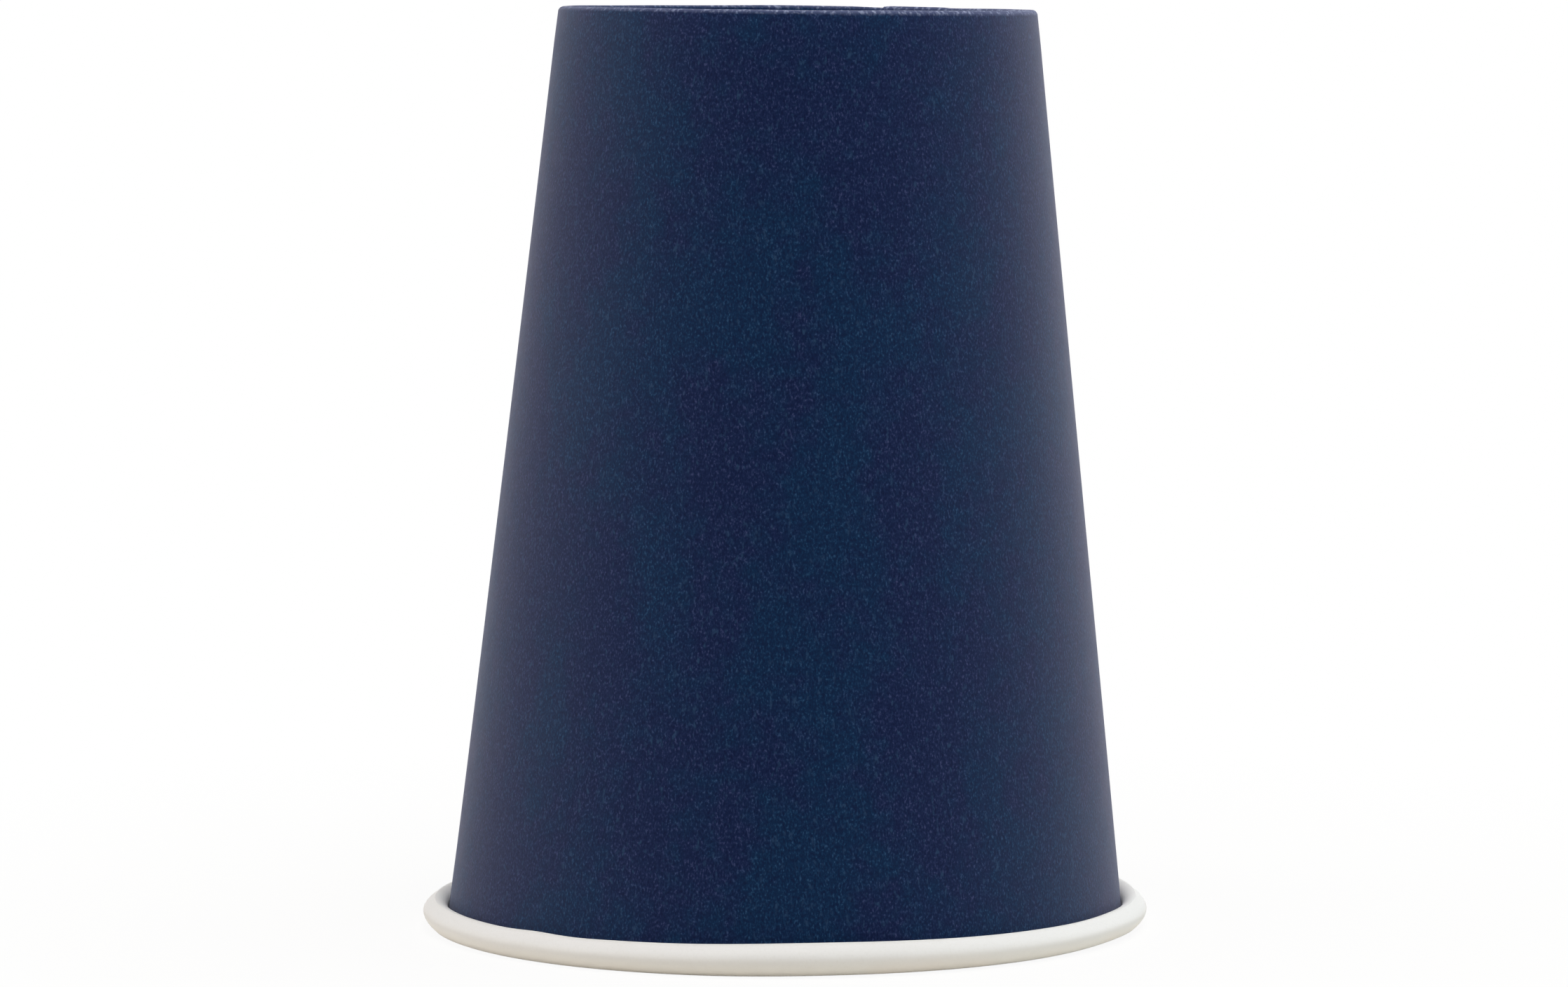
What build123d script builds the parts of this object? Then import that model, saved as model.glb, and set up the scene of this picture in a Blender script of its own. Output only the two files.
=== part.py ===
from build123d import *
import os
from math import asin, atan2, cos, degrees, hypot, radians, sin, tan

# A single-wall paper cup, standing upside down on its rolled rim.
# The cup's axis is Z, and its rim rests on the plane z = 0.
# It is made the way such a cup is: a fan-shaped blank wrapped round with a lapped seam,
# rolled outwards at the rim, and folded inwards at the foot over the skirt of a bottom disc.

# Driving dimensions, in millimetres and degrees
mouth_diameter = 90.0  # over the rolled rim
cup_height = 113.5  # from the rim to the crest of the foot
foot_diameter = 59.1  # over the foot
wall_board = 0.38  # thickness of the side wall's board
bottom_board = 0.32  # thickness of the bottom disc's board
seal_clearance = 0.05  # between two boards that are sealed together

roll_width = 3.5  # from the wall's inner face to the outside of the roll
roll_height = 3.9
roll_groove = 0.1  # between the wall and the edge tucked behind the roll
roll_tuck = 0.85  # straight end of the board inside the roll

hem_depth = 6.6  # how far the wall is folded into the foot
floor_recess = 8.8  # from the crest of the foot down to the bottom disc
floor_bend_radius = 0.9  # outside of the bend between the disc and its skirt
skirt_edge_gap = 0.25  # between the skirt's edge and the fold over it

seam_direction = 67.4  # where the outer edge of the lap lies, counted from +X towards +Y
seam_lap = 8.0  # width of the two layers
seam_ramp = 2.6  # width over which the outer layer comes back to the round
notch_width = 2.4  # short place in the foot's crest beside the lap
notch_depth = 0.2

# Worked out from the driving dimensions: the middle of the board is one line in the plane XZ,
# two arcs (over the foot and under the rim) with a straight wall tangent to both.
half_board = wall_board / 2
fold_radius = (wall_board + bottom_board) / 2 + seal_clearance
roll_radius = (roll_width - wall_board) / 2
fold_centre = Vector(foot_diameter / 2 - half_board - fold_radius, cup_height - half_board - fold_radius)
roll_centre = Vector(mouth_diameter / 2 - half_board - roll_radius, half_board + roll_radius)
between = roll_centre - fold_centre
taper = atan2(between.X, -between.Y) - asin((fold_radius + roll_radius) / hypot(between.X, between.Y))
slant = degrees(taper)
outwards = Vector(cos(taper), sin(taper))  # square to the wall
downwards = Vector(sin(taper), -cos(taper))  # along the wall, towards the rim
wall_at_foot = fold_centre + outwards * fold_radius
wall_at_roll = roll_centre - outwards * roll_radius


def wall_radius(height, outside):
    """Radius of the wall at a height, on the face that lies this far outside the middle of the board."""
    middle = wall_at_foot.X + (wall_at_foot.Y - height) * tan(taper)
    return middle + outside / cos(taper)


# The arc that brings the board from the outside of the roll back to the wall
room = mouth_diameter / 2 - half_board - wall_radius(roll_height - half_board, 0)
return_radius = (room * cos(taper) - wall_board - roll_groove) / (1 + cos(taper) + sin(taper))
return_centre = Vector(mouth_diameter / 2 - half_board - return_radius, roll_height - half_board - return_radius)


def bend(centre, radius, directions):
    """Corners of a bend made of flats that touch an arc; each flat looks in one of these directions."""
    corners = []
    for before, after in zip(directions, directions[1:]):
        reach = radius / cos(radians(after - before) / 2)
        corners.append(centre + Vector(reach, 0).rotate(Axis.Z, (before + after) / 2))
    return corners


def board_face(shift):
    """Corners of one face of the wall's board, from the hem to the tucked edge; shift is positive outside."""
    hem_end = fold_centre - outwards * (fold_radius + shift) + downwards * hem_depth
    fold = bend(fold_centre, fold_radius + shift, [180 + slant, 135, 90, 45, slant])
    roll = bend(roll_centre, roll_radius - shift, [180 + slant, 210, 240, 270, 300, 330, 360])
    back = bend(return_centre, return_radius - shift, [0, 30, 60, 90, 120, 150, 180 + slant])
    tuck_end = return_centre - outwards * (return_radius - shift) + downwards * roll_tuck
    return [hem_end, *fold, *roll, *back, tuck_end]


def ring_of(corners):
    """Solid of revolution about Z of the outline with these corners in the plane XZ."""
    outline = make_face(Polyline(*corners, close=True))
    return revolve(Plane.XZ * outline, Axis.Z)


def wrapped_wall():
    """The side wall without its seam: foot hem, cone and rolled rim as one even sheet."""
    return ring_of(board_face(half_board) + board_face(-half_board)[::-1])


def lap_limit():
    """Space that the lap's outer layer keeps to: one board outside the wall, and no higher than the crest."""
    shift = half_board + wall_board
    fold = bend(fold_centre, fold_radius + shift, [slant, 45, 90])
    capped = [Vector(corner.X, min(corner.Y, cup_height)) for corner in fold]
    foot = Vector(wall_radius(0, shift), 0)
    return ring_of([Vector(0, 0), foot, *capped, Vector(0, cup_height)])


def polar(radius, along):
    """Point on a circle about Z, a length along its arc from the seam's outer edge, clockwise from above."""
    return Vector(radius, 0).rotate(Axis.Z, -degrees(along / radius))


def outer_layer_section(height):
    """Section of what the lap adds outside the round wall: a step, the lap's width and a ramp."""
    low = wall_radius(height, 0)
    wall = wall_radius(height, half_board)
    high = wall_radius(height, half_board + wall_board)
    step = Line(polar(low, 0), polar(high, 0))
    top = ThreePointArc(polar(high, 0), polar(high, seam_lap / 2), polar(high, seam_lap))
    ramp = Line(polar(high, seam_lap), polar(wall, seam_lap + seam_ramp))
    end = Line(polar(wall, seam_lap + seam_ramp), polar(low, seam_lap + seam_ramp))
    middle = (seam_lap + seam_ramp) / 2
    base = ThreePointArc(polar(low, seam_lap + seam_ramp), polar(low, middle), polar(low, 0))
    return Pos(0, 0, height) * make_face([step, top, ramp, end, base])


def inner_step_section(height):
    """Section of what the lap takes from inside the round wall, past the inner layer's edge."""
    high = wall_radius(height, half_board)
    wall = wall_radius(height, -half_board)
    low = wall_radius(height, -half_board - wall_board)
    step = Line(polar(low, seam_lap), polar(high, seam_lap))
    ramp = Line(polar(high, seam_lap), polar(wall, seam_lap + seam_ramp))
    end = Line(polar(wall, seam_lap + seam_ramp), polar(low, seam_lap + seam_ramp))
    base = Line(polar(low, seam_lap + seam_ramp), polar(low, seam_lap))
    return Pos(0, 0, height) * make_face([step, ramp, end, base])


def seam_notch():
    """The short place that the lap leaves in the crest of the foot, beside its outer edge."""
    crest_radius = fold_centre.X
    across = 4 * (fold_radius + half_board)
    block = Box(across, notch_width, 2 * notch_depth, align=(Align.CENTER, Align.MIN, Align.CENTER))
    return Pos(crest_radius, 0, cup_height) * block


def make_side_wall():
    """Side wall with its lapped seam."""
    layer = loft([outer_layer_section(cup_height), outer_layer_section(return_centre.Y)], ruled=True)
    added = layer & lap_limit()
    taken_top = cup_height - floor_recess + floor_bend_radius
    taken = loft([inner_step_section(taken_top), inner_step_section(wall_at_roll.Y)], ruled=True)
    turn = Rot(0, 0, seam_direction)
    return wrapped_wall() + turn * added - turn * taken - turn * seam_notch()


def make_bottom_disc():
    """Bottom disc with the skirt that is sealed between the wall and the hem."""
    middle_radius = floor_bend_radius - bottom_board / 2
    disc_height = cup_height - floor_recess - bottom_board / 2
    skirt_shift = -half_board - seal_clearance - bottom_board / 2
    bend_height = disc_height + middle_radius
    bend_centre = Vector(wall_radius(bend_height, skirt_shift) - middle_radius / cos(taper), bend_height)
    skirt_height = cup_height - wall_board - skirt_edge_gap

    def board(shift):
        corner = bend(bend_centre, middle_radius - shift, [-90, -60, -30, slant])
        skirt_end = Vector(wall_radius(skirt_height, skirt_shift - shift), skirt_height)
        return [Vector(0, disc_height + shift), *corner, skirt_end]

    return ring_of(board(bottom_board / 2) + board(-bottom_board / 2)[::-1])


pieces = {
    "side_wall": make_side_wall(),
    "bottom_disc": make_bottom_disc(),
}

os.makedirs("parts", exist_ok=True)
for name, shape in pieces.items():
    solid = shape.solid()
    export_step(solid, f"parts/{name}.step")
    box = solid.bounding_box()
    print(name, "volume", round(solid.volume), "from", box.min, "to", box.max)
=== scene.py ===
from math import asin, atan2, cos, hypot, pi, radians, sin, tan

import bpy
import numpy as np
from mathutils import Matrix, Vector


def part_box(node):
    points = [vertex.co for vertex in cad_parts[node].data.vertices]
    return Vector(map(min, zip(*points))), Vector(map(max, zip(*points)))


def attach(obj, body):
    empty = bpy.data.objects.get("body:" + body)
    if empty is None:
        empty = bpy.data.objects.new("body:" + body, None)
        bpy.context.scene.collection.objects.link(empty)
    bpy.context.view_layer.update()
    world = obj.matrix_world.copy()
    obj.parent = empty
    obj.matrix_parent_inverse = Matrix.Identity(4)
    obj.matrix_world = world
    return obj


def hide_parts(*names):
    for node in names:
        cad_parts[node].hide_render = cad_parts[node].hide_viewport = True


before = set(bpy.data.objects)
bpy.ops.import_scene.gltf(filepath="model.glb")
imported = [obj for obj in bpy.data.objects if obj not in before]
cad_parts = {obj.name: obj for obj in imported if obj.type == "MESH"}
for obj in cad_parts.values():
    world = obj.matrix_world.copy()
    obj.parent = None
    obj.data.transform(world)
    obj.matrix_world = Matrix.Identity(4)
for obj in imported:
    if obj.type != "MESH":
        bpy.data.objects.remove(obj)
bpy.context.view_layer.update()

MM = 0.001

# The cup's sizes, in metres. The overall ones come from the frame, and the others are the construction's own.
rim_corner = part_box("side_wall")[1]
CUP_HEIGHT = rim_corner[2]
RIM_RADIUS = rim_corner[0]
FOOT_RADIUS = 29.55 * MM
BOARD = 0.38 * MM  # thickness of the wall's board
HALF = BOARD / 2
FLOOR_BOARD = 0.32 * MM  # thickness of the bottom disc's board
SEAL = 0.05 * MM  # between two boards that are sealed together
ROLL_WIDTH = 3.5 * MM  # from the wall's inner face to the outside of the roll
ROLL_HEIGHT = 3.9 * MM
ROLL_GROOVE = 0.1 * MM  # between the wall and the edge tucked behind the roll
ROLL_TUCK = 0.85 * MM  # straight end of the board inside the roll
HEM_DEPTH = 6.6 * MM  # how far the wall is folded into the foot
FLOOR_RECESS = 8.8 * MM  # from the crest of the foot down to the bottom disc
FLOOR_BEND = 0.9 * MM  # outside of the bend between the disc and its skirt
SKIRT_GAP = 0.25 * MM  # between the skirt's edge and the fold over it

# The side seam: the outer edge of the lap lies at SEAM, and the lap runs clockwise from it, seen from above.
SEAM = radians(67.4)
LAP = 8.0 * MM
RAMP = 2.6 * MM  # width over which the outer layer comes back to the round
GLUE = 0.01 * MM
LAP_PRESSED = 0.75  # share of the lap's lift that the fold at the foot takes away
PRINT = 0.03 * MM  # thickness of the printed layer on the board

# The knurling that presses the hem on to the skirt
KNURLS = 110
KNURL_DEPTH = 0.05 * MM  # either way from the middle of a mark
KNURL_TOP = 1.3 * MM  # where the band starts below the crest
KNURL_END = 5.8 * MM  # and where it ends
KNURL_FADE = 0.6 * MM  # width of the band's soft edges

# What forming and handling did to this cup
LEAN = radians(0.8)  # the body leans to the right over its rim
CREST_TILT = radians(0.6)  # the crest is lower on the right
SET_OVER = 0.24 * MM  # the whole body stands this much to the right, less near the rim
SET_OVER_RISE = 30 * MM  # height over which it moves there
HOLLOW = 0.11 * MM  # the wall is slightly hollow halfway up
OVAL = 0.0012  # share of the radius by which the wall is out of round halfway up
SHOULDER = 0.13 * MM  # the wall turns in this much before the fold
SHOULDER_HEIGHT = 1.3 * MM
FLARE = 0.06 * MM  # the wall opens slightly where it meets the roll
FLARE_HEIGHT = 1.1 * MM
LENS_HEIGHT = 2.0 * MM  # the roll's outermost line
LENS_TIP = 1.15 * MM  # radius of the roll's section just above that line
LENS_KEEL = 1.5 * MM  # and just below it
NOTCH_DEPTH = 0.13 * MM  # the short place in the foot's crest beside the lap
NOTCH_WIDTH = 4.2 * MM
NOTCH_EDGE = 0.02 * MM  # half the width of its step at the lap's edge
CREST_WAVE = 0.02 * MM  # the crest is uneven all round
CREST_RISE = 0.11 * MM  # and higher at the back
CREST_RISE_AT = radians(97)
CREST_MARKS_LOW = 2.2 * MM  # the crest's marks start this far below it
CREST_MARKS_FULL = 0.5 * MM  # and are whole this far below it
DISH = 0.22 * MM  # the bottom disc sags this much in its middle
DISC_WAVE = 0.03 * MM  # four times the height of the two waves round it
WEAR_AND_HIGHLIGHT_FROM = 0.37 * MM  # the worn ink and its painted highlight on the fold start this far below the crest's height on the camera's side
WEAR_AND_HIGHLIGHT_FULL = 0.10 * MM  # and would be gone this far above it
WEAR_AND_HIGHLIGHT_UNEVEN = 0.40 * MM  # a noise moves the edge of the wear and painted highlight by up to this much

# How finely the sheets are cut up
LAP_STEPS = 9
RAMP_STEPS = 7
ROUND_STEPS = 441
DISC_STEPS = 240
DISC_MIDDLE = 0.4 * MM  # radius of the one face in the middle of the disc

# Worked out from the sizes: the middle of the board is two arcs with a straight wall tangent to both.
# A point in the board's section is (radius, height).
FOLD_R = (BOARD + FLOOR_BOARD) / 2 + SEAL
ROLL_R = (ROLL_WIDTH - BOARD) / 2
FOLD_C = np.array([FOOT_RADIUS - HALF - FOLD_R, CUP_HEIGHT - HALF - FOLD_R])
ROLL_C = np.array([RIM_RADIUS - HALF - ROLL_R, HALF + ROLL_R])
between = ROLL_C - FOLD_C
TAPER = atan2(between[0], -between[1]) - asin((FOLD_R + ROLL_R) / hypot(*between))
OUT = np.array([cos(TAPER), sin(TAPER)])  # square to the wall
DOWN = np.array([sin(TAPER), -cos(TAPER)])  # along the wall, towards the rim
WALL_FOOT = FOLD_C + OUT * FOLD_R
WALL_ROLL = ROLL_C - OUT * ROLL_R


def wall_radius(height, outside=0.0):
    """Radius of the wall at a height, on the face this far outside the middle of the board."""
    return WALL_FOOT[0] + (WALL_FOOT[1] - height) * tan(TAPER) + outside / cos(TAPER)


# The arc that brings the board from the outside of the roll back to the wall
room = RIM_RADIUS - HALF - wall_radius(ROLL_HEIGHT - HALF)
BACK_R = (room * cos(TAPER) - BOARD - ROLL_GROOVE) / (1 + cos(TAPER) + sin(TAPER))
BACK_C = np.array([RIM_RADIUS - HALF - BACK_R, ROLL_HEIGHT - HALF - BACK_R])


def smooth(value, low, high):
    """0 below low, 1 above high and a soft ramp between."""
    share = np.clip((value - low) / (high - low), 0, 1)
    return share * share * (3 - 2 * share)


def bump(value, centre, width):
    """1 at the centre, falling to nothing on both sides of it."""
    return np.exp(-(((value - centre) / width) ** 2))


def turned(azimuth, centre):
    """Angle from centre to azimuth, from -pi to pi."""
    return (azimuth - centre + pi) % (2 * pi) - pi


def run(start, end, normal, count):
    """Stations along a straight stretch of the board, each with its place and outward normal."""
    share = np.linspace(0, 1, count)[:, None]
    return np.hstack([start + (end - start) * share, np.tile(normal, (count, 1))])


def arc(centre, radius, first, last, side, count):
    """Stations round a bend; side is 1 where the board's outside faces away from the centre, and -1 towards it."""
    turn = np.linspace(first, last, count)
    look = np.stack([np.cos(turn), np.sin(turn)], axis=1)
    return np.hstack([centre + radius * look, side * look])


def board_stations():
    """The board's middle line from the hem's edge to the tucked edge, and where each stretch begins.

    A station is a row of radius, height, the outward normal's two parts, and 1 in the rolled rim or else 0.
    """
    hem_top = FOLD_C - OUT * FOLD_R
    tuck_top = BACK_C - OUT * BACK_R
    stretches = {
        "hem": run(hem_top + DOWN * HEM_DEPTH, hem_top, -OUT, 10),
        "fold": arc(FOLD_C, FOLD_R, pi + TAPER, TAPER, 1, 11),
        "wall": run(WALL_FOOT, WALL_ROLL, OUT, 30),
        "roll": arc(ROLL_C, ROLL_R, pi + TAPER, 2 * pi, -1, 14),
        "land": run(ROLL_C + [ROLL_R, 0], BACK_C + [BACK_R, 0], np.array([-1.0, 0.0]), 3),
        "back": arc(BACK_C, BACK_R, 0, pi + TAPER, -1, 15),
        "tuck": run(tuck_top, tuck_top + DOWN * ROLL_TUCK, OUT, 3),
    }
    rows, starts = [], {}
    for name, stations in stretches.items():
        skip = 1 if rows else 0  # a stretch begins where the one before it ended
        starts[name] = len(rows)
        in_rim = float(name in ("roll", "land", "back", "tuck"))
        rows.extend([*station, in_rim] for station in stations[skip:])
    return np.array(rows), starts


def sheet_grid(rows, depth):
    """Points of one face of the wrapped blank, as an array [round, along, xyz].

    The blank starts with the lap's outer layer, comes down the ramp, goes once round and ends under the lap.
    """
    radius = rows[:, 0]
    ramp_steps = LAP + np.linspace(0, RAMP, RAMP_STEPS)[1:]
    over = [np.full_like(radius, step) for step in (*np.linspace(0, LAP, LAP_STEPS), *ramp_steps)]
    once_round = 2 * pi * radius - RAMP
    under = [LAP + RAMP + share * once_round for share in np.linspace(0, 1, ROUND_STEPS)[1:]]
    along = np.array(over + under)
    azimuth = SEAM - along / radius
    raised = 1 - smooth(along, LAP, LAP + RAMP)
    return place(rows, azimuth, raised, depth)


def place(rows, azimuth, raised, depth):
    """Sets stations of the board at azimuths, with the lap's lift, the knurled hem and the marks of handling."""
    radius, height, normal_r, normal_z, in_rim = rows.T
    at_foot = smooth(height, CUP_HEIGHT - CREST_MARKS_LOW, CUP_HEIGHT - CREST_MARKS_FULL)
    lift = raised * (BOARD + GLUE) * (1 - LAP_PRESSED * at_foot)
    shift = depth + lift + flare(rows) + knurl(rows, azimuth)
    r = radius + normal_r * shift
    z = height + normal_z * shift
    z = z + at_foot * crest_marks(azimuth)
    r = r - pinch(r, z)
    lift_low, lift_top = rim_waves(azimuth)
    outer = smooth(radius, ROLL_C[0] - ROLL_R, ROLL_C[0])
    upper = smooth(height, 0.25 * ROLL_HEIGHT, ROLL_HEIGHT)
    z = z + in_rim * (lift_low * outer + lift_top * upper)
    return stand(r, azimuth, z)


def flare(rows):
    """How far the wall's outside opens where it meets the roll."""
    height, normal_r, in_rim = rows[:, 1], rows[:, 2], rows[:, 4]
    fade = np.exp(-np.maximum(height - ROLL_HEIGHT, 0) / FLARE_HEIGHT)
    return FLARE * (1 - in_rim) * (normal_r > 0.5) * fade * smooth(height, WALL_ROLL[1], ROLL_HEIGHT)


def knurl(rows, azimuth):
    """The pressed marks of the knurling wheel on the inside of the foot, as a shift of the hem."""
    below_crest = (CUP_HEIGHT - rows[:, 1]) * (rows[:, 2] < -0.9)  # 0 outside the hem
    band = smooth(below_crest, KNURL_TOP, KNURL_TOP + KNURL_FADE)
    band = band * (1 - smooth(below_crest, KNURL_END - KNURL_FADE, KNURL_END))
    return -KNURL_DEPTH * band * (1 + np.cos(KNURLS * azimuth))


def crest_marks(azimuth):
    """How much higher the foot's crest is: uneven all round, high at the back, and short beside the lap."""
    past_edge = turned(azimuth, SEAM) * FOOT_RADIUS
    notch = smooth(past_edge, -NOTCH_EDGE, NOTCH_EDGE) * np.clip(1 - past_edge / NOTCH_WIDTH, 0, 1)
    waves = np.sin(5 * azimuth + 0.6) + 0.6 * np.sin(11 * azimuth + 2.0)
    rise = bump(turned(azimuth, CREST_RISE_AT), 0, 0.5)
    return CREST_WAVE * waves + CREST_RISE * rise - NOTCH_DEPTH * notch


def pinch(r, z):
    """How far the roll is pressed in above and below its outermost line, so that its section is a lens."""
    below = ROLL_C[0] + np.sqrt(np.clip((ROLL_R + HALF) ** 2 - (ROLL_C[1] - z) ** 2, 0, None))
    above = BACK_C[0] + np.sqrt(np.clip((BACK_R + HALF) ** 2 - (z - BACK_C[1]) ** 2, 0, None))
    round_side = np.where(z < ROLL_C[1], below, np.where(z > BACK_C[1], above, RIM_RADIUS))
    tip = np.where(z > LENS_HEIGHT, LENS_TIP, LENS_KEEL)
    lens_side = RIM_RADIUS - (z - LENS_HEIGHT) ** 2 / (2 * tip)
    outer = np.clip((r - ROLL_C[0]) / (RIM_RADIUS - ROLL_C[0]), 0, 1)
    return np.clip(round_side - lens_side, 0, None) * smooth(outer, 0.0, 0.5) * (z < ROLL_HEIGHT + HALF)


def rim_waves(azimuth):
    """How far the rim stands off its plane, and how much more its upper side does.

    Each bump is its height in millimetres, its bearing and its width in degrees. The bearing is counted from
    the camera's side, positive to the right.
    """
    bearing = np.degrees(turned(azimuth, -pi / 2))
    low = 0.11 * smooth(bearing, -15, 10) * (1 - smooth(bearing, 65, 90)) + 0.14 * bump(bearing, 66, 14)
    top = -0.40 + 0.40 * bump(bearing, 0, 22) + 0.16 * bump(bearing, 27, 18) + 0.28 * bump(bearing, 105, 20)
    top = top + 0.15 * bump(bearing, -44, 4.5) - 0.20 * bump(bearing, -115, 15) - 0.05 * bump(bearing, -34, 4)
    top = top - 0.08 * bump(bearing, 57, 9) + 0.02 * np.sin(np.radians(9 * bearing))
    return low * MM, top * MM


def stand(r, azimuth, z):
    """Points of the body as it really stands: its wall slightly hollow and out of round, and its axis leaning.

    The rim stays level on the table, so the lean and the crest's tilt set in above it.
    """
    rise = np.clip(z / CUP_HEIGHT, 0, 1)
    shoulder = np.clip((z - CUP_HEIGHT + SHOULDER_HEIGHT) / SHOULDER_HEIGHT, 0, 1) ** 2
    r = r * (1 + OVAL * np.cos(2 * azimuth + 0.7) * np.sin(pi * rise) ** 2)
    r = r - HOLLOW * np.sin(pi * rise) - SHOULDER * shoulder
    x = r * np.cos(azimuth)
    y = r * np.sin(azimuth)
    set_over = SET_OVER * (1 - np.exp(-z / SET_OVER_RISE))
    x_leant = x + tan(LEAN) * z * smooth(rise, 0.0, 0.06) + set_over
    z_leant = z - sin(CREST_TILT) * x * smooth(rise, 0.03, 0.5)
    return np.stack([x_leant, y, z_leant], axis=-1)


def point_numbers(grid):
    """The numbers of a grid's points, and those of a second such grid that follows it in the mesh."""
    around, along = grid.shape[:2]
    first = np.arange(around * along).reshape(around, along)
    return first, first + around * along


def quads(numbers, flip=False):
    """Faces over a grid of point numbers."""
    a, b, c, d = numbers[:-1, :-1], numbers[:-1, 1:], numbers[1:, 1:], numbers[1:, :-1]
    order = [a, d, c, b] if flip else [a, b, c, d]
    return np.stack(order, axis=-1).reshape(-1, 4)


def strip(one, two):
    """Faces between two lines of point numbers."""
    return np.stack([one[:-1], two[:-1], two[1:], one[1:]], axis=-1)


def mesh_object(name, grids, faces):
    """A piece with the points of these grids, smooth but for its sharp edges."""
    points = np.concatenate([grid.reshape(-1, 3) for grid in grids])
    mesh = bpy.data.meshes.new(name)
    mesh.from_pydata(points.tolist(), [], faces)
    mesh.update()
    mesh.shade_smooth()
    mesh.set_sharp_from_angle(angle=radians(50))
    piece = bpy.data.objects.new(name, mesh)
    bpy.context.collection.objects.link(piece)
    return piece


def sheet_mesh(name, rows, inner_depth, outer_depth):
    """A closed thin shell between two faces of the wrapped blank."""
    inner, outer = sheet_grid(rows, inner_depth), sheet_grid(rows, outer_depth)
    first, second = point_numbers(inner)
    faces = [
        quads(first),
        quads(second, flip=True),
        strip(first[0], second[0]),
        strip(second[-1], first[-1]),
        strip(second[:, 0], first[:, 0]),
        strip(first[:, -1], second[:, -1]),
    ]
    return mesh_object(name, (inner, outer), np.concatenate(faces).tolist())


def floor_disc():
    """The bottom disc: flat in the middle with a slight dish, turned into a skirt that follows the wall."""
    shift = -HALF - SEAL - FLOOR_BOARD / 2
    bend_radius = FLOOR_BEND - FLOOR_BOARD / 2
    level = CUP_HEIGHT - FLOOR_RECESS - FLOOR_BOARD / 2
    bend_height = level + bend_radius
    bend = np.array([wall_radius(bend_height, shift) - bend_radius / cos(TAPER), bend_height])
    skirt_top = CUP_HEIGHT - BOARD - SKIRT_GAP
    skirt_end = np.array([wall_radius(skirt_top, shift), skirt_top])
    rows = np.concatenate([
        run(np.array([DISC_MIDDLE, level]), np.array([bend[0], level]), np.array([0.0, -1.0]), 34),
        arc(bend, bend_radius, -pi / 2, TAPER, 1, 9)[1:],
        run(bend + OUT * bend_radius, skirt_end, OUT, 8)[1:],
    ])
    radius, height, normal_r, normal_z = rows.T
    azimuth = np.linspace(0, 2 * pi, DISC_STEPS, endpoint=False)[:, None]
    share = radius / bend[0]
    flat = height < level + 0.2 * MM  # leaves out the skirt and most of the bend
    dish = DISH * (1 - share**2) * flat
    wave = DISC_WAVE * np.sin(2 * azimuth + 0.5) * flat * share * (1 - share)

    def face(depth):
        return stand(radius + normal_r * depth, azimuth, height + normal_z * depth - dish + wave)

    lower, upper = face(FLOOR_BOARD / 2), face(-FLOOR_BOARD / 2)
    first, second = point_numbers(lower)
    first_ring, second_ring = np.vstack([first, first[:1]]), np.vstack([second, second[:1]])
    faces = [quads(first_ring, flip=True), quads(second_ring), strip(first_ring[:, -1], second_ring[:, -1])]
    middles = [first[:, 0].tolist(), second[::-1, 0].tolist()]
    return mesh_object("bottom_disc_board", (lower, upper), np.concatenate(faces).tolist() + middles)


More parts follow.
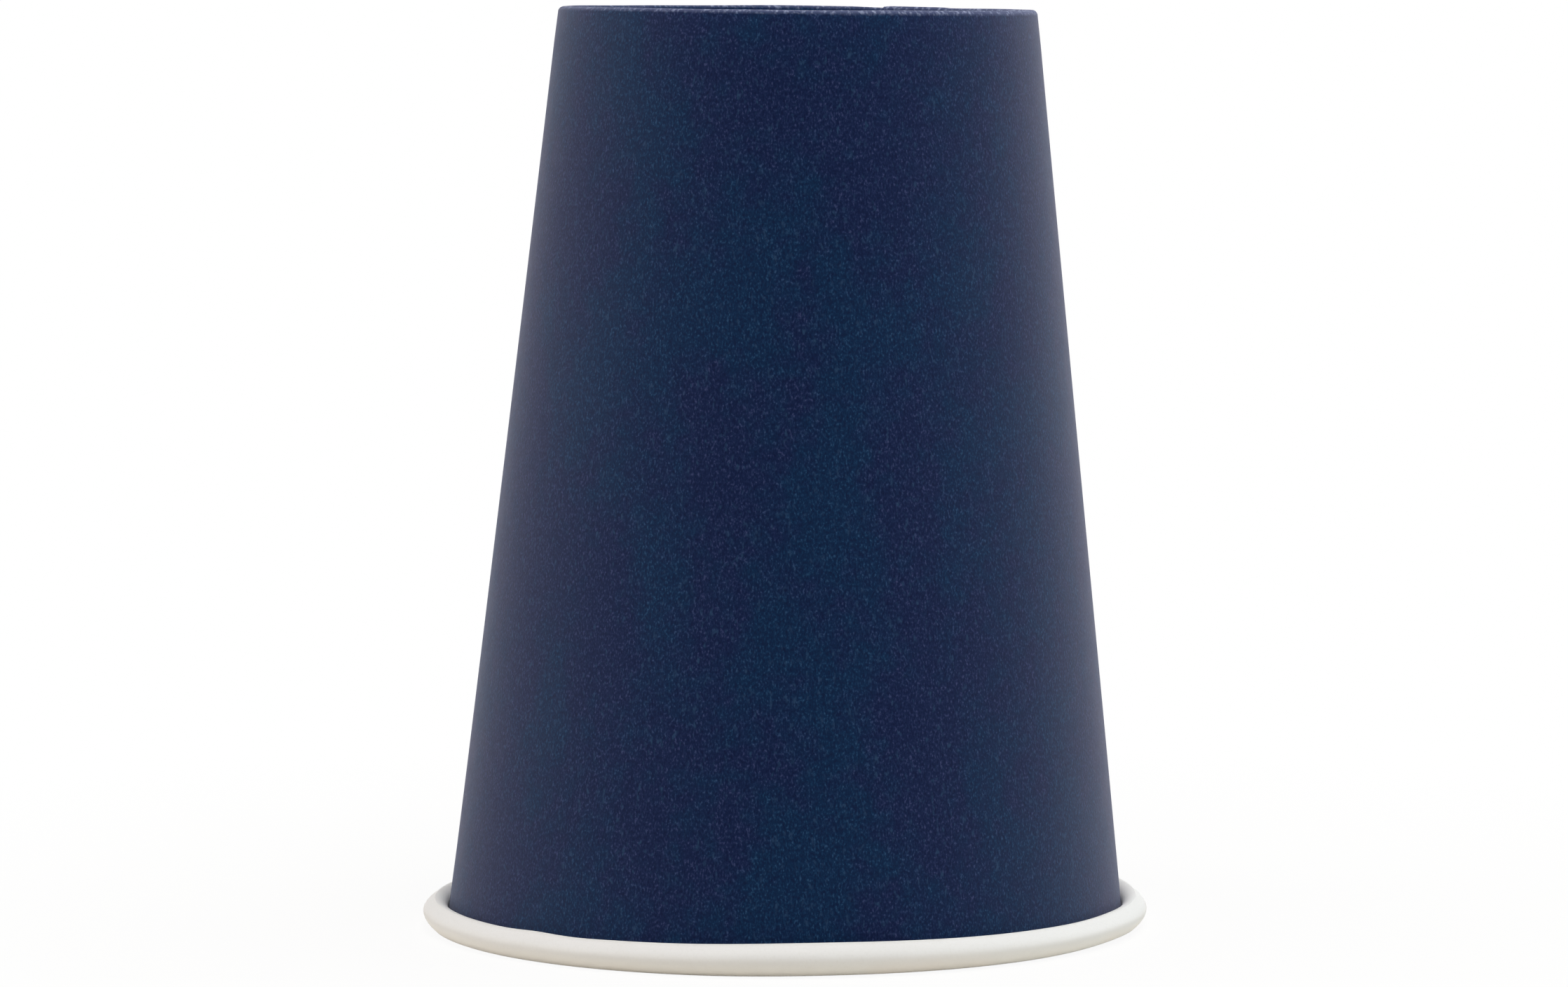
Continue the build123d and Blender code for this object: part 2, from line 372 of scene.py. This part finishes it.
class Nodes:
    """Short names for adding and joining the shader nodes of a material or the world."""

    def __init__(self, owner):
        owner.use_nodes = True
        self.tree = owner.node_tree
        self.tree.nodes.clear()

    def add(self, kind, **settings):
        """A node with these properties and input values; an underscore stands for a space in an input's name."""
        node = self.tree.nodes.new(kind)
        for name, value in settings.items():
            if hasattr(node, name):
                setattr(node, name, value)
            else:
                node.inputs[name.replace("_", " ")].default_value = value
        return node

    def join(self, source, target):
        self.tree.links.new(source, target)

    def feed(self, sockets, values):
        """Gives each socket its value, or joins it to the value's node."""
        for socket, value in zip(sockets, values):
            if isinstance(value, (tuple, float, int)):
                socket.default_value = value
            else:
                self.join(value, socket)

    def place(self):
        return self.add("ShaderNodeTexCoord").outputs["Object"]

    def stretched(self, place, rise):
        """Places for a texture that is drawn out upwards, more so with a smaller rise."""
        node = self.add("ShaderNodeMapping", Scale=(1.0, 1.0, rise))
        self.join(place, node.inputs["Vector"])
        return node.outputs["Vector"]

    def noise(self, place, scale, detail=2.0, roughness=0.5):
        node = self.add("ShaderNodeTexNoise", Scale=scale, Detail=detail, Roughness=roughness)
        self.join(place, node.inputs["Vector"])
        return node.outputs["Fac"]

    def steps(self, factor, stops):
        """A colour that runs through these (position, colour) stops."""
        node = self.add("ShaderNodeValToRGB")
        ramp = node.color_ramp
        ramp.elements[0].position, ramp.elements[0].color = stops[0]
        ramp.elements[1].position, ramp.elements[1].color = stops[-1]
        for position, colour in stops[1:-1]:
            ramp.elements.new(position).color = colour
        self.join(factor, node.inputs["Fac"])
        return node.outputs["Color"]

    def ramp(self, factor, low, high):
        """0 below low, 1 above high and even between."""
        return self.steps(factor, ((low, (0, 0, 0, 1)), (high, (1, 1, 1, 1))))

    def spread(self, value, low, high, first=0.0, last=1.0):
        """The value, with low and high brought to first and last."""
        node = self.add("ShaderNodeMapRange", From_Min=low, From_Max=high, To_Min=first, To_Max=last)
        self.join(value, node.inputs["Value"])
        return node.outputs[0]

    def mix(self, factor, first, second):
        """A blend of two colours."""
        node = self.add("ShaderNodeMix", data_type="RGBA")
        self.feed((node.inputs[0], node.inputs[6], node.inputs[7]), (factor, first, second))
        return node.outputs[2]

    def blend(self, factor, first, second):
        """A blend of two shaders."""
        node = self.add("ShaderNodeMixShader")
        self.feed(node.inputs, (factor, first.outputs[0], second.outputs[0]))
        return node.outputs[0]

    def math(self, operation, first, second):
        node = self.add("ShaderNodeMath", operation=operation)
        self.feed(node.inputs, (first, second))
        return node.outputs[0]

    def vector(self, operation, *vectors):
        """What a sum on vectors comes to, as a number."""
        node = self.add("ShaderNodeVectorMath", operation=operation)
        self.feed(node.inputs, vectors)
        return node.outputs["Value"]

    def looking(self):
        """1 for the camera's rays and for those that gloss and glass send on, and 0 for light's own."""
        rays = self.add("ShaderNodeLightPath").outputs
        bounced = self.math("MAXIMUM", rays["Is Glossy Ray"], rays["Is Transmission Ray"])
        return self.math("MAXIMUM", rays["Is Camera Ray"], bounced)

    def finish(self, surface, kind="ShaderNodeOutputMaterial"):
        self.join(surface, self.add(kind).inputs["Surface"])

    def board_surface(self, colour, roughness, relief, relief_strength, relief_depth, **settings):
        """Finishes a material of matt board with this relief."""
        shader = self.add("ShaderNodeBsdfPrincipled", **settings)
        self.join(colour, shader.inputs["Base Color"])
        self.join(roughness, shader.inputs["Roughness"])
        raised = self.add("ShaderNodeBump", Strength=relief_strength, Distance=relief_depth)
        self.join(relief, raised.inputs["Height"])
        self.join(raised.outputs["Normal"], shader.inputs["Normal"])
        self.finish(shader.outputs["BSDF"])


# The ink's colours, as screen levels of red, green and blue from 0 to 255
PURPLE_NAVY = (9, 27, 66)
TEAL_NAVY = (-7, 34, 69)  # next to no red but in the pale fibres
FLECK = (34, 60, 92)
# The crest's pale colours are worn ink and partly a painted highlight on the fold.
WORN_AND_HIGHLIT = (70, 78, 110)
WORN_AND_HIGHLIT_SPECK = (150, 158, 186)
# A fibre's tone: a value of the noise, and what it adds to the red and to the green and blue
FIBRE_TONES = ((0.30, -12, -12), (0.42, -5, -4), (0.52, 1, 1), (0.62, 21, 16), (0.72, 48, 38))


def ink(red, green, blue):
    """A linear colour from screen levels, which count as 1 or more."""
    levels = [max(level, 1) / 255 for level in (red, green, blue)]
    linear = [level / 12.92 if level <= 0.04045 else ((level + 0.055) / 1.055) ** 2.4 for level in levels]
    return (*linear, 1)


def fibre_stops(base):
    """The ink's colours from its darkest fibres to its palest, round this one."""
    red, green, blue = base
    return [(at, ink(red + reds, green + rest, blue + rest)) for at, reds, rest in FIBRE_TONES]


def wear_and_highlight_share(nodes, place):
    """How much of the crest's pale colour shows, which is worn ink with a painted highlight on the fold: only the
    crest of the foot, most on the camera's side and to the right.
    """
    to_right, to_back = 1.5 * sin(CREST_TILT), -0.004
    height = nodes.vector("DOT_PRODUCT", place, (to_right, to_back, 1.0))
    uneven = nodes.math("MULTIPLY", nodes.noise(place, 900.0, 3.0, 0.6), WEAR_AND_HIGHLIGHT_UNEVEN)
    near_crest = CUP_HEIGHT - to_back * FOOT_RADIUS
    return nodes.spread(nodes.math("ADD", height, uneven), near_crest - WEAR_AND_HIGHLIGHT_FROM, near_crest + WEAR_AND_HIGHLIGHT_FULL)


def printed_material():
    """Matt dark navy ink on board: short upright fibres, a faint mottle, and a worn crest at the foot that is
    partly a painted highlight.
    """
    material = bpy.data.materials.new("navy_print")
    nodes = Nodes(material)
    place = nodes.place()
    fibres = nodes.noise(nodes.stretched(place, 0.6), 4600.0)
    flecks = nodes.noise(nodes.stretched(place, 0.5), 2100.0)
    mottle = nodes.noise(place, 420.0)
    cloud = nodes.noise(nodes.stretched(place, 0.6), 85.0)
    purple = nodes.steps(fibres, fibre_stops(PURPLE_NAVY))
    teal = nodes.steps(fibres, fibre_stops(TEAL_NAVY))
    patches = nodes.math("ADD", nodes.math("MULTIPLY", cloud, 0.65), nodes.math("MULTIPLY", mottle, 0.35))
    plain = nodes.mix(nodes.ramp(patches, 0.43, 0.57), purple, teal)
    flecked = nodes.mix(nodes.ramp(flecks, 0.60, 0.76), plain, ink(*FLECK))
    # Worn ink on the foot's crest, partly a painted highlight on the fold.
    wear_and_highlight = nodes.mix(nodes.ramp(flecks, 0.50, 0.72), ink(*WORN_AND_HIGHLIT), ink(*WORN_AND_HIGHLIT_SPECK))
    colour = nodes.mix(wear_and_highlight_share(nodes, place), flecked, wear_and_highlight)
    roughness = nodes.spread(mottle, 0.0, 1.0, 0.46, 0.60)
    relief = nodes.math("ADD", fibres, nodes.math("MULTIPLY", mottle, 0.8))
    nodes.board_surface(
        colour, roughness, relief, 0.9, 0.03 * MM,
        Specular_IOR_Level=0.04, Specular_Tint=(0.60, 0.88, 1.0, 1),
        Sheen_Weight=0.18, Sheen_Roughness=0.55, Sheen_Tint=(0.86, 0.84, 1.0, 1),
    )
    return material


def board_material(name, white_level):
    """White board with a fine grain, and a painted warm bounce light from the table that grows towards the lip
    standing on it.
    """
    material = bpy.data.materials.new(name)
    nodes = Nodes(material)
    place = nodes.place()
    grain = nodes.noise(place, 3600.0, 3.0, 0.6)
    cloud = nodes.noise(place, 90.0)

    def tone(level, green, blue):
        """A linear colour with this red, and these shares of it in green and blue."""
        return (level, green * level, blue * level, 1)

    white = nodes.mix(cloud, tone(white_level, 0.985, 0.96), tone(white_level + 0.03, 0.985, 0.96))
    white = nodes.mix(nodes.ramp(grain, 0.50, 0.85), white, tone(white_level - 0.04, 0.98, 0.94))
    split = nodes.add("ShaderNodeSeparateXYZ")
    nodes.join(place, split.inputs[0])
    # Painted warm bounce light from the table, growing towards the lip; the board itself is a neutral white.
    painted_bounce_share = nodes.spread(split.outputs["Z"], 2.6 * MM, 0.2 * MM)
    patches = nodes.ramp(nodes.noise(place, 60.0), 0.50, 0.66)
    painted_warm_bounce = nodes.mix(patches, (0.93, 0.895, 0.825, 1), (0.93, 0.865, 0.785, 1))
    colour = nodes.mix(painted_bounce_share, white, painted_warm_bounce)
    roughness = nodes.spread(cloud, 0.0, 1.0, 0.42, 0.56)
    nodes.board_surface(colour, roughness, grain, 0.25, 0.02 * MM, Specular_IOR_Level=0.06)
    return material


def dress(piece, material, node):
    """Gives a piece its material and its body, and hides the node of solids that it replaces."""
    piece.data.materials.append(material)
    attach(piece, "root")
    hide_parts(node)


def make_cup():
    """The wall's board, the printed layer on it from the hem to the outside of the roll, and the bottom disc."""
    rows, starts = board_stations()
    wall = sheet_mesh("side_wall_board", rows, -HALF, HALF - PRINT)
    dress(wall, board_material("white_board", 0.86), "side_wall")
    printed = sheet_mesh("printed_layer", rows[: starts["land"]], HALF - PRINT, HALF)
    dress(printed, printed_material(), "side_wall")
    dress(floor_disc(), board_material("disc_board", 0.79), "bottom_disc")


def floor_material():
    """Pale to the lamps and white to the camera, a little less so near the cup, where its shadow shows."""
    material = bpy.data.materials.new("floor_white")
    nodes = Nodes(material)
    pale = nodes.add("ShaderNodeBsdfDiffuse", Color=(0.85, 0.825, 0.775, 1))
    glow = nodes.add("ShaderNodeEmission", Strength=1.0)
    away = nodes.vector("LENGTH", nodes.place())
    glow_share = nodes.spread(away, 1.2 * RIM_RADIUS, 4 * RIM_RADIUS, 0.92, 1.0)
    nodes.finish(nodes.blend(nodes.math("MULTIPLY", nodes.looking(), glow_share), pale, glow))
    return material


def make_floor():
    """A wide pale floor, a hair below the rim."""
    reach = 4.0
    corners = [(-reach, -reach, 0), (reach, -reach, 0), (reach, reach, 0), (-reach, reach, 0)]
    mesh = bpy.data.meshes.new("floor")
    mesh.from_pydata(corners, [], [(0, 1, 2, 3)])
    mesh.materials.append(floor_material())
    floor = bpy.data.objects.new("floor", mesh)
    floor.location.z = -0.05 * MM
    bpy.context.collection.objects.link(floor)


def softbox(name, bearing, elevation, distance, width, height, power, colour):
    """A soft lamp that looks at the cup, placed by angles in degrees and lengths in metres.

    Its bearing is counted from the camera's side, positive to the right.
    """
    light = bpy.data.lights.new(name, "AREA")
    light.shape = "RECTANGLE"
    light.size = width
    light.size_y = height
    light.energy = power
    light.color = colour
    turn, lift = radians(bearing), radians(elevation)
    away = Vector((sin(turn) * cos(lift), -cos(turn) * cos(lift), sin(lift)))
    middle = Vector((0, 0, CUP_HEIGHT / 2))
    lamp = bpy.data.objects.new(name, light)
    lamp.location = middle + away * distance
    lamp.rotation_euler = (-away).to_track_quat("-Z", "Y").to_euler()
    bpy.context.collection.objects.link(lamp)


def make_light():
    """Two softboxes on each side for the haze on the wall's flanks, one overhead and one in front."""
    softbox("left_front", -88, 18, 0.9, 0.5, 0.7, 2.8, (1.0, 0.96, 0.94))
    softbox("left_back", -125, 18, 0.9, 0.5, 0.7, 0.25, (1.0, 0.975, 0.95))
    softbox("right_front", 84, 18, 0.9, 0.5, 0.7, 1.45, (0.80, 0.94, 1.0))
    softbox("right_back", 125, 18, 0.9, 0.5, 0.7, 1.25, (0.84, 0.94, 1.0))
    softbox("top", 60, 81, 0.9, 0.8, 0.8, 7.1, (1.0, 0.99, 0.98))
    softbox("front_high", 10, 50, 1.0, 0.8, 0.5, 2.4, (1.0, 1.0, 1.0))


def make_world():
    """White where it is looked at, and only a weak fill as a light."""
    world = bpy.data.worlds.new("studio")
    nodes = Nodes(world)
    fill = nodes.add("ShaderNodeBackground", Color=(1, 1, 1, 1), Strength=0.07)
    seen = nodes.add("ShaderNodeBackground", Color=(1, 1, 1, 1), Strength=1.0)
    nodes.finish(nodes.blend(nodes.looking(), fill, seen), "ShaderNodeOutputWorld")
    bpy.context.scene.world = world


def make_camera():
    """The photo's viewpoint: far off, just above the foot, and looking slightly down."""
    distance, height = 782.3 * MM, 119.54 * MM
    pitch, roll = radians(4.825), radians(-0.103)
    focal_pixels, image_width = 9036.5, 2237
    camera = bpy.data.cameras.new("camera")
    camera.sensor_width = 36.0
    camera.lens = focal_pixels / image_width * camera.sensor_width
    camera.clip_start = 0.01
    camera.clip_end = 100.0
    view = bpy.data.objects.new("camera", camera)
    turn = Matrix.Rotation(pi / 2 - pitch, 4, "X") @ Matrix.Rotation(roll, 4, "Z")
    view.matrix_world = Matrix.Translation((0, -distance, height)) @ turn
    bpy.context.collection.objects.link(view)
    bpy.context.scene.camera = view


make_camera()
make_light()
make_world()
make_floor()
make_cup()
bpy.context.scene.view_settings.view_transform = "Standard"
